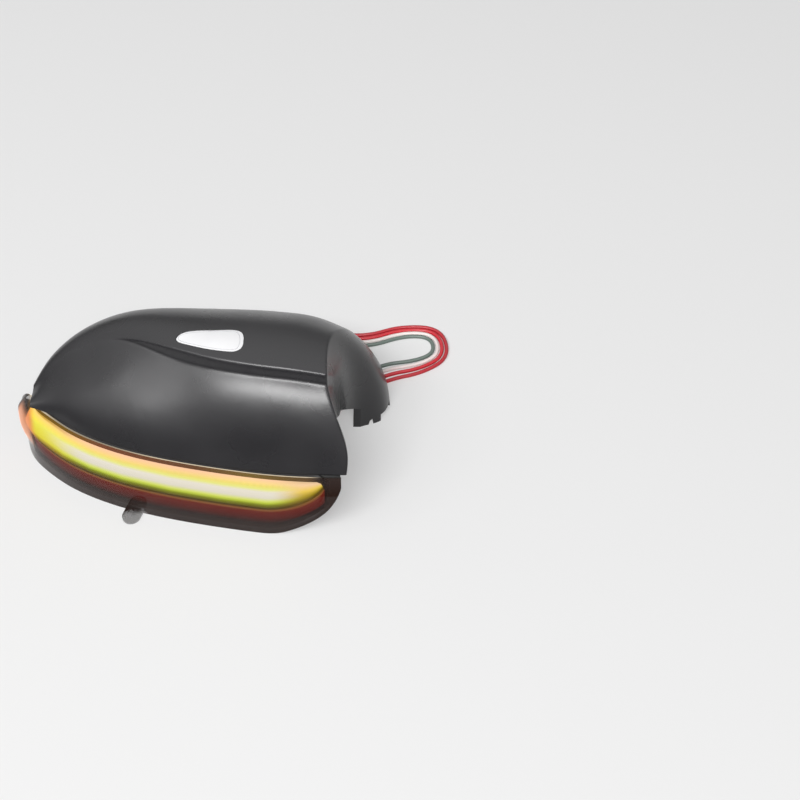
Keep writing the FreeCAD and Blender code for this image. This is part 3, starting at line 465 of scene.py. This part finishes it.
# The edge scatters what travels in the wall: pale, as far as the light bar reaches
reach = put(tree, "ShaderNodeAttribute", {"attribute_name": "lit"}, {})
glow = put(tree, "ShaderNodeMix", {"data_type": "RGBA"},
           {0: reach.outputs["Fac"], 6: tint("#171514"), 7: tint("#E2D2B6")})
shader = put(tree, "ShaderNodeBsdfPrincipled", {},
             {"Base Color": tint("#2A2420"), "Roughness": 0.3, "IOR": 1.58, "Specular IOR Level": 0.3,
              "Emission Color": glow.outputs[2], "Emission Strength": 0.85})
put(tree, "ShaderNodeOutputMaterial", {}, {"Surface": shader.outputs[0]})
lens_piece.data.materials.append(material)
material, tree = finish_named("clear_polycarbonate_inside")
# The wall's inner side adds hardly anything to what its outer side shows
shader = put(tree, "ShaderNodeBsdfPrincipled", {},
             {"Base Color": tint("#241611"), "Roughness": 0.08, "IOR": 1.58, "Specular IOR Level": 0.2,
              "Alpha": 0.06})
put(tree, "ShaderNodeOutputMaterial", {}, {"Surface": shader.outputs[0]})
lens_piece.data.materials.append(material)


# Light bar
# A clear acrylic bar behind the lens spreads the light of the row of sources behind it. It is
# brightest along its middle, and its colour changes from edge to edge through its thickness.
BAR_FACE = 3.8
LENS_SHOULDER, LENS_LEAN = 19.0, 9.6
BAND_UP, BAND_BACK = 0.67, 0.74   # the colours follow one another up and back, on this slope
LEAST_BANDS = 2.0                 # least height of all the bands together
OUTER_BLEND, INNER_BLEND, TIP_BLEND = (66.0, 100.0), (44.0, 66.0), (101.0, 107.5)
BAR_COLOURS = [(0.0, "#504400"), (0.1, "#788008"), (0.18, "#BCCC40"), (0.24, "#D8E070"),
               (0.35, "#E0DAC8"), (0.54, "#EAE4D4"), (0.64, "#ECEC88"), (0.74, "#E8DA74"),
               (0.86, "#F0CE90"), (0.96, "#F4C6A2"), (1.0, "#C8A080")]
OUTER_COLOURS = [(0.0, "#806000"), (0.1, "#B09808"), (0.2, "#E0D230"), (0.6, "#F0EA50"),
                 (0.84, "#F2D078"), (0.9, "#A88430"), (1.0, "#806000")]
INNER_COLOURS = [(0.0, "#5A4400"), (0.2, "#A08A18"), (0.5, "#ECCA54"), (0.82, "#F0CAA0"),
                 (1.0, "#CCB088")]


# The lens's foot, in plan and in mm, is the line that the lamp's pieces follow
FOOT_LINE = [(-103.9, 14.5), (-108.7, 11.2), (-111.5, 5.4), (-111.9, -1.0), (-110.5, -8.0),
             (-107.1, -15.2), (-100.9, -22.2), (-85.8, -35.2), (-67.8, -45.9), (-46.8, -54.7),
             (-16.3, -63.5), (15.0, -70.0), (42.1, -74.3), (65.7, -76.3), (90.7, -76.5)]


def behind_line(spot):
    """Distance in plan from the lens's foot line."""
    best = 1e9
    for (ax, ay), (bx, by) in zip(FOOT_LINE, FOOT_LINE[1:]):
        dx, dy = bx - ax, by - ay
        t = min(1.0, max(0.0, ((spot.x - ax) * dx + (spot.y - ay) * dy) / (dx * dx + dy * dy)))
        best = min(best, hypot(spot.x - ax - t * dx, spot.y - ay - t * dy))
    return best


def lean_at(height):
    rise = max(0.0, (height - LENS_SHOULDER) / (LENS_TOP - LENS_SHOULDER))
    return LENS_LEAN * rise ** 2


def band_height(spot):
    """How far up and back a place of the bar lies, along the slope of its colour bands."""
    return BAND_UP * spot.z + BAND_BACK * behind_line(spot)


bar = skin_of("light_guide", "light_bar", 30)
finely(bar, longest=0.0018)
bands_end = max(band_height(v.co * 1000) for v in bar.data.vertices)


def across(spot):
    """0 at the bar's lower front edge, 1 at the rear edge of its top."""
    low = bar_foot(spot.x)
    start = BAND_UP * low + BAND_BACK * (BAR_FACE + lean_at(low))
    return (band_height(spot) - start) / max(LEAST_BANDS, bands_end - start)


note(bar, "across", across)
note(bar, "outer", lambda spot: ramp(-spot.x, *OUTER_BLEND))
note(bar, "inner", lambda spot: ramp(spot.x, *INNER_BLEND))
note(bar, "tip", lambda spot: ramp(-spot.x, *TIP_BLEND))
material, tree = finish_named("lit_acrylic")
# Clear acrylic, lit from behind: it glows by itself, so its own gloss hardly counts
edge_to_edge = put(tree, "ShaderNodeAttribute", {"attribute_name": "across"}, {})
bands = []
for colours in (BAR_COLOURS, OUTER_COLOURS, INNER_COLOURS):
    band = put(tree, "ShaderNodeValToRGB", {}, {0: edge_to_edge.outputs["Fac"]})
    set_stops(band, colours)
    bands.append(band.outputs[0])
glow = bands[0]
for name, colour in (("outer", bands[1]), ("inner", bands[2]), ("tip", tint("#E8894A"))):
    share = put(tree, "ShaderNodeAttribute", {"attribute_name": name}, {})
    glow = put(tree, "ShaderNodeMix", {"data_type": "RGBA"},
               {0: share.outputs["Fac"], 6: glow, 7: colour}).outputs[2]
shader = put(tree, "ShaderNodeBsdfPrincipled", {},
             {"Base Color": tint("#1A1408"), "Roughness": 0.3, "IOR": 1.49,
              "Emission Color": glow, "Emission Strength": 2.45})
put(tree, "ShaderNodeOutputMaterial", {}, {"Surface": shader.outputs[0]})
bar.data.materials.append(material)


# Trim below the bar
# A thin red acrylic strip hides the board. Its upper edge catches the bar's light as a fine
# orange line, which dies away through dark red towards the lamp's foot.
TRIM_GLOW = [(0.0, "#3A2A02"), (0.05, "#4A3A02"), (0.1, "#7E5420"), (0.14, "#8E5A2C"), (0.2, "#6C1C0C"),
             (0.45, "#581410"), (0.75, "#341410"), (1.0, "#1C0C0A")]
TRIM_HEIGHT = 18.0
trim = skin_of("guide_bezel", "red_trim", 30)
finely(trim, longest=0.0022)
note(trim, "below", lambda spot: (bar_foot(spot.x) - spot.z) / TRIM_HEIGHT)
material, tree = finish_named("red_acrylic_trim")
# Dark red acrylic with a polished face
depth = put(tree, "ShaderNodeAttribute", {"attribute_name": "below"}, {})
fade = put(tree, "ShaderNodeValToRGB", {}, {0: depth.outputs["Fac"]})
set_stops(fade, TRIM_GLOW)
shader = put(tree, "ShaderNodeBsdfPrincipled", {},
             {"Base Color": tint("#2A0806"), "Roughness": 0.25, "IOR": 1.49,
              "Emission Color": fade.outputs[0], "Emission Strength": 2.0})
put(tree, "ShaderNodeOutputMaterial", {}, {"Surface": shader.outputs[0]})
trim.data.materials.append(material)


# Lamp tray
# The closed back of the lamp: a black ABS and polycarbonate moulding with three screw ears.
tray = skin_of("lamp_housing", "lamp_tray", 24)
# Unpainted moulded blend: dull black with a coarse grain
tray.data.materials.append(moulded("black_blend", "#1E1D1F", 0.55, 0.0006, 0.3, 0.0004))
vent = skin_of("vent_plug", "vent_cap", 30)
vent.data.materials.append(moulded("grey_polyamide", "#3C3D40", 0.5, 0.0005, 0.25, 0.0003))


# Seal and bush
# Black EPDM rubber: the flat seal between tray and lens, and the bush round the wires.
rubber = moulded("epdm_rubber", "#1B1B1B", 0.72, 0.0007, 0.35, 0.0004)
seal = skin_of("lens_gasket", "lens_seal", 24)
seal.data.materials.append(rubber)
bush = skin_of("cable_grommet", "wire_bush", 28)
bush.data.materials.append(rubber)


# Edge strip
# A short rubber strip lies behind the lens, past the tray's end, and closes the slit that is
# left there between the lens's upper edge and the edge of the cap.
STRIP_PLAN = [(77.3, -65.2), (86.2, -65.2), (86.2, -61.9), (71.9, -61.9)]      # mm
STRIP_FOOT, STRIP_FRONT, STRIP_BACK = 38.6, 42.1, 42.9       # heights, of its top in front and behind
STRIP_ROUND = 0.0003              # metres
mesh = bpy.data.meshes.new("edge_strip")
work = bmesh.new()
low = [work.verts.new((x / 1000, y / 1000, STRIP_FOOT / 1000)) for x, y in STRIP_PLAN]
high = [work.verts.new((x / 1000, y / 1000, z / 1000))
        for (x, y), z in zip(STRIP_PLAN, (STRIP_FRONT, STRIP_FRONT, STRIP_BACK, STRIP_BACK))]
work.faces.new(low[::-1])
work.faces.new(high)
for i in range(4):
    work.faces.new((low[i], low[(i + 1) % 4], high[(i + 1) % 4], high[i]))
bmesh.ops.bevel(work, geom=work.edges[:], offset=STRIP_ROUND, segments=3, profile=0.5,
                affect="EDGES")
for face in work.faces:
    face.smooth = True
bmesh.ops.recalc_face_normals(work, faces=work.faces[:])
work.to_mesh(mesh)
work.free()
mesh.materials.append(rubber)
strip = bpy.data.objects.new("edge_strip", mesh)
bpy.context.scene.collection.objects.link(strip)
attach(strip, "root")


# Board
# A strip of glass fibre board, bent behind the bar, with its chips, resistors and screws.
material, tree = finish_named("green_solder_mask")
# Lacquered glass fibre: the copper tracks under the green show as lighter lines 0.4 mm wide
place = put(tree, "ShaderNodeTexCoord", {}, {}).outputs["Object"]
tracks = put(tree, "ShaderNodeTexBrick", {}, {"Vector": place, "Scale": 1.0, "Brick Width": 0.006,
                                              "Row Height": 0.0022, "Mortar Size": 0.0002,
                                              "Color1": tint("#0E3B1E"), "Color2": tint("#12452A"),
                                              "Mortar": tint("#2A6B3C")})
shader = put(tree, "ShaderNodeBsdfPrincipled", {},
             {"Base Color": tracks.outputs[0], "Roughness": 0.3, "IOR": 1.5})
put(tree, "ShaderNodeOutputMaterial", {}, {"Surface": shader.outputs[0]})
stay("led_board", material)
stay("driver_chips", moulded("black_epoxy", "#161617", 0.45, 0.0003, 0.2, 0.0001))
stay("board_resistors", moulded("glazed_ceramic", "#2B2622", 0.3, 0.0004, 0.1, 0.0001))
steel = bare_metal("zinc_plated_steel", "#A9AAAD", 0.34, 0.0004)
stay("board_screws", steel)


# Lamp screws
# Three pan head screws with a six sided socket hold the ears to the cap's bosses.
screws = skin_of("lamp_screws", "ear_screws", 28)
screws.data.materials.append(steel)


# Light sources
# Eighteen white ceramic packages on the board, each with an amber dome of silicone.
PACKAGE_LENGTH, PACKAGE_HEIGHT, PACKAGE_DEPTH = 0.0035, 0.0028, 0.0012        # metres
PACKAGE_SPARE = 0.00005           # how far an edge's length may stray from the package's
DOME_RADIUS, DOME_FLATNESS = 0.0011, 0.28
DOME_SEAT = -0.42                 # the dome's middle, in package depths from the package's


def islands(node):
    """Middle and turn in plan of each of a node's like boxes."""
    work = bmesh.new()
    work.from_mesh(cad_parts[node].data)
    bmesh.ops.remove_doubles(work, verts=work.verts, dist=MERGE_DISTANCE)
    found, left = [], set(work.verts)
    while left:
        group, front = [], [left.pop()]
        while front:
            vertex = front.pop()
            group.append(vertex)
            for edge in vertex.link_edges:
                other = edge.other_vert(vertex)
                if other in left:
                    left.discard(other)
                    front.append(other)
        middle = sum((v.co for v in group), Vector()) / len(group)
        flat = [v.co.to_2d() for v in group]
        reach = max((a - b for a in flat for b in flat
                     if abs((a - b).length - PACKAGE_LENGTH) < PACKAGE_SPARE), key=lambda way: way.x)
        found.append((middle, atan2(reach.y, reach.x)))
    work.free()
    return found


led_spots = islands("leds")
mesh = bpy.data.meshes.new("light_sources")
mesh.from_pydata([tuple(spot) for spot, _ in led_spots], [], [])
turns = mesh.attributes.new("turn", "FLOAT_VECTOR", "POINT")
for i, (_, angle) in enumerate(led_spots):
    turns.data[i].vector = (0.0, 0.0, angle)
sources = bpy.data.objects.new("light_sources", mesh)
bpy.context.scene.collection.objects.link(sources)
# Glazed alumina: white, hard and glossy
ceramic = moulded("white_alumina", "#E9E6DC", 0.3, 0.0004, 0.1, 0.0001)
material, tree = finish_named("amber_silicone")
# Amber silicone, lit: it glows evenly through its dome
shader = put(tree, "ShaderNodeBsdfPrincipled", {},
             {"Base Color": tint("#C07A1C"), "Roughness": 0.3, "IOR": 1.41,
              "Emission Color": tint("#FFC86A"), "Emission Strength": 1.0})
put(tree, "ShaderNodeOutputMaterial", {}, {"Surface": shader.outputs[0]})
tree = bpy.data.node_groups.new("sources_on_board", "GeometryNodeTree")
tree.interface.new_socket("Geometry", in_out="INPUT", socket_type="NodeSocketGeometry")
length = tree.interface.new_socket("Package length", in_out="INPUT", socket_type="NodeSocketFloat")
width = tree.interface.new_socket("Package height", in_out="INPUT", socket_type="NodeSocketFloat")
thick = tree.interface.new_socket("Package depth", in_out="INPUT", socket_type="NodeSocketFloat")
dome = tree.interface.new_socket("Dome radius", in_out="INPUT", socket_type="NodeSocketFloat")
tree.interface.new_socket("Geometry", in_out="OUTPUT", socket_type="NodeSocketGeometry")
given = put(tree, "NodeGroupInput", {}, {})
size = put(tree, "ShaderNodeCombineXYZ", {}, {0: given.outputs["Package length"],
                                              1: given.outputs["Package depth"],
                                              2: given.outputs["Package height"]})
package = put(tree, "GeometryNodeMeshCube", {}, {"Size": size.outputs[0]})
white = put(tree, "GeometryNodeSetMaterial", {}, {"Geometry": package.outputs[0], "Material": ceramic})
ball = put(tree, "GeometryNodeMeshUVSphere", {}, {"Segments": 16, "Rings": 8,
                                                  "Radius": given.outputs["Dome radius"]})
outward = put(tree, "ShaderNodeMath", {"operation": "MULTIPLY"},
              {0: given.outputs["Package depth"], 1: DOME_SEAT})
front = put(tree, "ShaderNodeCombineXYZ", {}, {1: outward.outputs[0]})
seated = put(tree, "GeometryNodeTransform", {}, {"Geometry": ball.outputs[0],
                                                 "Translation": front.outputs[0],
                                                 "Scale": (1.0, DOME_FLATNESS, 1.0)})
amber = put(tree, "GeometryNodeSetMaterial", {}, {"Geometry": seated.outputs[0], "Material": material})
both = tree.nodes.new("GeometryNodeJoinGeometry")
tree.links.new(white.outputs[0], both.inputs[0])
tree.links.new(amber.outputs[0], both.inputs[0])
turn = put(tree, "GeometryNodeInputNamedAttribute", {"data_type": "FLOAT_VECTOR"}, {"Name": "turn"})
spread = put(tree, "GeometryNodeInstanceOnPoints", {},
             {"Points": given.outputs["Geometry"], "Instance": both.outputs[0],
              "Rotation": turn.outputs["Attribute"]})
real = put(tree, "GeometryNodeRealizeInstances", {}, {"Geometry": spread.outputs[0]})
put(tree, "NodeGroupOutput", {}, {"Geometry": real.outputs[0]})
row = sources.modifiers.new("row", "NODES")
row.node_group = tree
for socket, value in ((length, PACKAGE_LENGTH), (width, PACKAGE_HEIGHT), (thick, PACKAGE_DEPTH),
                      (dome, DOME_RADIUS)):
    row[socket.identifier] = value
bpy.context.view_layer.update()
graph = bpy.context.evaluated_depsgraph_get()
sources.data = bpy.data.meshes.new_from_object(sources.evaluated_get(graph), depsgraph=graph)
sources.modifiers.clear()
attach(sources, "root")
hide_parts("leds")


# Table and light
# A plain pale table runs out of view, before a wall as pale as it. One wide soft light stands high
# behind the camera and a weaker one high to the left. The room gives an even fill, and what mirrors
# it sees it brighter above than at its walls.
TABLE_REACH = 3
TABLE_EVENNESS = 0.4              # share of its own pale colour in the table as it is seen
FILL, MIRRORED_LOW, MIRRORED_HIGH, MIRRORED_RISE = 0.16, 0.1, 1.7, 0.8
BACKDROP = "#ECECEC"
# Each light's place, aim and size in metres, and its watts
LIGHTS = {"high_front": ((-0.40, -1.79, 2.41), (0.05, 0.0, 0.05), (2.5, 0.7), 98.0),
          "high_left": ((-1.86, -0.87, 2.24), (0.0, 0.0, 0.05), (1.6, 0.6), 11.0)}
corners = [(x * TABLE_REACH, y * TABLE_REACH, 0) for x, y in ((-1, -1), (1, -1), (1, 1), (-1, 1))]
mesh = bpy.data.meshes.new("table")
mesh.from_pydata(corners, [], [(0, 1, 2, 3)])
table = bpy.data.objects.new("table", mesh)
bpy.context.scene.collection.objects.link(table)
material, tree = finish_named("matt_laminate")
place = put(tree, "ShaderNodeTexCoord", {}, {}).outputs["Object"]
cloud = put(tree, "ShaderNodeTexNoise", {}, {"Vector": place, "Scale": 3.0})
shade = put(tree, "ShaderNodeMix", {"data_type": "RGBA"},
            {0: cloud.outputs[0], 6: tint("#EBEBEB"), 7: tint("#EDEDED")})
matt = put(tree, "ShaderNodeBsdfPrincipled", {},
           {"Base Color": shade.outputs[2], "Roughness": 0.9, "Specular IOR Level": 0.1})
even = put(tree, "ShaderNodeEmission", {}, {"Color": tint(BACKDROP), "Strength": 1.0})
rays = put(tree, "ShaderNodeLightPath", {}, {})
seen = put(tree, "ShaderNodeMath", {"operation": "MAXIMUM"},
           {0: rays.outputs["Is Camera Ray"], 1: rays.outputs["Is Glossy Ray"]})
seen = put(tree, "ShaderNodeMath", {"operation": "MAXIMUM"},
           {0: seen.outputs[0], 1: rays.outputs["Is Transmission Ray"]})
share = put(tree, "ShaderNodeMath", {"operation": "MULTIPLY"}, {0: seen.outputs[0], 1: TABLE_EVENNESS})
both = put(tree, "ShaderNodeMixShader", {}, {0: share.outputs[0], 1: matt.outputs[0], 2: even.outputs[0]})
put(tree, "ShaderNodeOutputMaterial", {}, {"Surface": both.outputs[0]})
table.data.materials.append(material)

world = bpy.data.worlds.new("studio")
bpy.context.scene.world = world
world.use_nodes = True
tree = world.node_tree
tree.nodes.clear()
rays = put(tree, "ShaderNodeLightPath", {}, {})
way = put(tree, "ShaderNodeSeparateXYZ", {},
          {0: put(tree, "ShaderNodeTexCoord", {}, {}).outputs["Generated"]})
above = put(tree, "ShaderNodeMapRange", {}, {0: way.outputs["Z"], 1: 0.0, 2: MIRRORED_RISE,
                                             3: MIRRORED_LOW, 4: MIRRORED_HIGH})
strength = put(tree, "ShaderNodeMix", {"data_type": "FLOAT"},
               {0: rays.outputs["Is Glossy Ray"], 2: FILL, 3: above.outputs[0]})
fill = put(tree, "ShaderNodeBackground", {}, {"Color": tint("#FFFFFF"), "Strength": strength.outputs[0]})
wall = put(tree, "ShaderNodeBackground", {}, {"Color": tint(BACKDROP), "Strength": 1.0})
seen = put(tree, "ShaderNodeMath", {"operation": "MAXIMUM"},
           {0: rays.outputs["Is Camera Ray"], 1: rays.outputs["Is Transmission Ray"]})
both = put(tree, "ShaderNodeMixShader", {}, {0: seen.outputs[0], 1: fill.outputs[0], 2: wall.outputs[0]})
put(tree, "ShaderNodeOutputWorld", {}, {"Surface": both.outputs[0]})

for name, (place, aim, size, power) in LIGHTS.items():
    lamp = bpy.data.lights.new(name, "AREA")
    lamp.shape = "RECTANGLE"
    lamp.size, lamp.size_y = size
    lamp.energy = power
    light = bpy.data.objects.new(name, lamp)
    light.location = place
    light.rotation_euler = (Vector(aim) - Vector(place)).to_track_quat("-Z", "Y").to_euler()
    bpy.context.scene.collection.objects.link(light)
